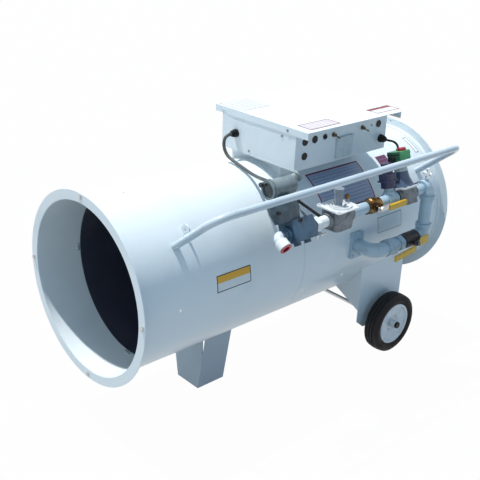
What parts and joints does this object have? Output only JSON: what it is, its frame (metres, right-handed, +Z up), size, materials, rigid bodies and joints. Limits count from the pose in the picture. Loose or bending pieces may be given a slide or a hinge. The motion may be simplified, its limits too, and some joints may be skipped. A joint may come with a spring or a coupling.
{
  "type": "forced air heater",
  "caption": "Portable gas-fired forced air heater: a blower drum on a folded leg and two wheels, with a control box, a side gas train and a long handle rail.",
  "frame": {"origin": "centre of the outlet ring's front face, on the drum's axis", "axes": "+X along the drum from the outlet to the air inlet, +Z up, -Y towards the gas train and the control panel"},
  "size_m": [1.551, 0.84, 1.025],
  "materials": {
    "drum_paint": "satin",
    "galvanised": "satin",
    "heat_black": "heat darkened",
    "bright_steel": "plated",
    "wheel_paint": "gloss",
    "tyre_rubber": "matt",
    "black_plastic": "matt",
    "grey_plastic": "matt",
    "inlet_white": "satin",
    "cap_red": "gloss",
    "iron_grey": "cast",
    "slate_paint": "semi gloss",
    "cast_aluminium": "sand cast",
    "coil_green": "matt",
    "brass": "worn",
    "lever_yellow": "dipped",
    "fan_aluminium": "cast",
    "igniter_white": "glazed"
  },
  "bodies": {
    "heater": {"front_drum": "drum_paint", "rear_drum": "drum_paint", "outlet_ring": "drum_paint", "inlet_ring": "drum_paint", "heat_liner": "heat_black", "front_leg": "drum_paint", "rear_leg_near": "drum_paint", "rear_leg_far": "drum_paint", "axle": "bright_steel", "axle_collars": "bright_steel", "control_box": "drum_paint", "box_lid": "drum_paint", "box_saddle": "drum_paint", "knockout_plugs": "black_plastic", "conduit_gland": "black_plastic", "cable_gland": "black_plastic", "flex_conduit": "black_plastic", "solenoid_cable": "black_plastic", "switch_bodies": "bright_steel", "socket_body": "grey_plastic", "control_electrics": "black_plastic", "handle_rail": "drum_paint", "inlet_elbow": "inlet_white", "inlet_coupling": "inlet_white", "thread_cap": "cap_red", "actuated_valve": "slate_paint", "actuator_housing": "slate_paint", "actuator_head": "iron_grey", "drain_cock": "bright_steel", "pipe_nipples": "inlet_white", "regulator_body": "cast_aluminium", "regulator_cover": "cast_aluminium", "vent_plug": "brass", "brass_valve": "brass", "pressure_switch": "slate_paint", "solenoid_valve": "cast_aluminium", "solenoid_coil": "coil_green", "coil_cap": "cap_red", "pipe_elbows": "inlet_white", "black_valve": "iron_grey", "pipe_union": "inlet_white", "sweep_elbow": "inlet_white", "burner_head": "heat_black", "air_baffle": "galvanised", "fan_motor": "iron_grey", "motor_mount": "galvanised", "inlet_guard": "bright_steel", "spark_igniter": "igniter_white"},
    "wheel_near": {"rim_near": "wheel_paint", "tyre_near": "tyre_rubber"},
    "wheel_far": {"rim_far": "wheel_paint", "tyre_far": "tyre_rubber"},
    "fan": {"fan": "fan_aluminium"},
    "brass_lever": {"brass_lever": "lever_yellow"},
    "black_lever": {"black_lever": "lever_yellow"},
    "drain_handle": {"drain_handle": "bright_steel"},
    "fan_toggle": {"fan_toggle": "bright_steel"},
    "heat_toggle": {"heat_toggle": "bright_steel"},
    "reset_button": {"reset_button": "black_plastic"},
    "socket_cover": {"socket_cover": "grey_plastic"}
  },
  "joints": [
    {"name": "near_wheel_spin", "type": "hinge", "parent": "heater", "child": "wheel_near", "pos_m": [1.258, -0.323, -0.414], "axis": [0, 1, 0], "continuous": true},
    {"name": "far_wheel_spin", "type": "hinge", "parent": "heater", "child": "wheel_far", "pos_m": [1.258, 0.323, -0.414], "axis": [0, 1, 0], "continuous": true},
    {"name": "fan_spin", "type": "hinge", "parent": "heater", "child": "fan", "pos_m": [1.218, 0, 0], "axis": [1, 0, 0], "continuous": true},
    {"name": "brass_valve_turn", "type": "hinge", "parent": "heater", "child": "brass_lever", "pos_m": [0.955, -0.43, 0.2], "axis": [0, 1, 0], "range_deg": [0, 90]},
    {"name": "black_valve_turn", "type": "hinge", "parent": "heater", "child": "black_lever", "pos_m": [1.207, -0.43, 0], "axis": [0, 1, 0], "range_deg": [-84, 6]},
    {"name": "drain_turn", "type": "hinge", "parent": "heater", "child": "drain_handle", "pos_m": [0.676, -0.41, 0.1686], "axis": [0, 1, 0], "continuous": true},
    {"name": "fan_switch_tip", "type": "hinge", "parent": "heater", "child": "fan_toggle", "pos_m": [0.899, -0.247, 0.434], "axis": [1, 0, 0], "range_deg": [-24, 0]},
    {"name": "heat_switch_tip", "type": "hinge", "parent": "heater", "child": "heat_toggle", "pos_m": [1.057, -0.247, 0.434], "axis": [1, 0, 0], "range_deg": [-24, 0]},
    {"name": "reset_push", "type": "slide", "parent": "heater", "child": "reset_button", "axis": [0, 1, 0], "range_m": [0, 0.003], "stiffness_N_per_m": 300},
    {"name": "socket_cover_lift", "type": "hinge", "parent": "heater", "child": "socket_cover", "pos_m": [0.959, -0.248, 0.418], "axis": [1, 0, 0], "range_deg": [-110, 0], "stiffness_Nm_per_rad": 0.02}
  ]
}
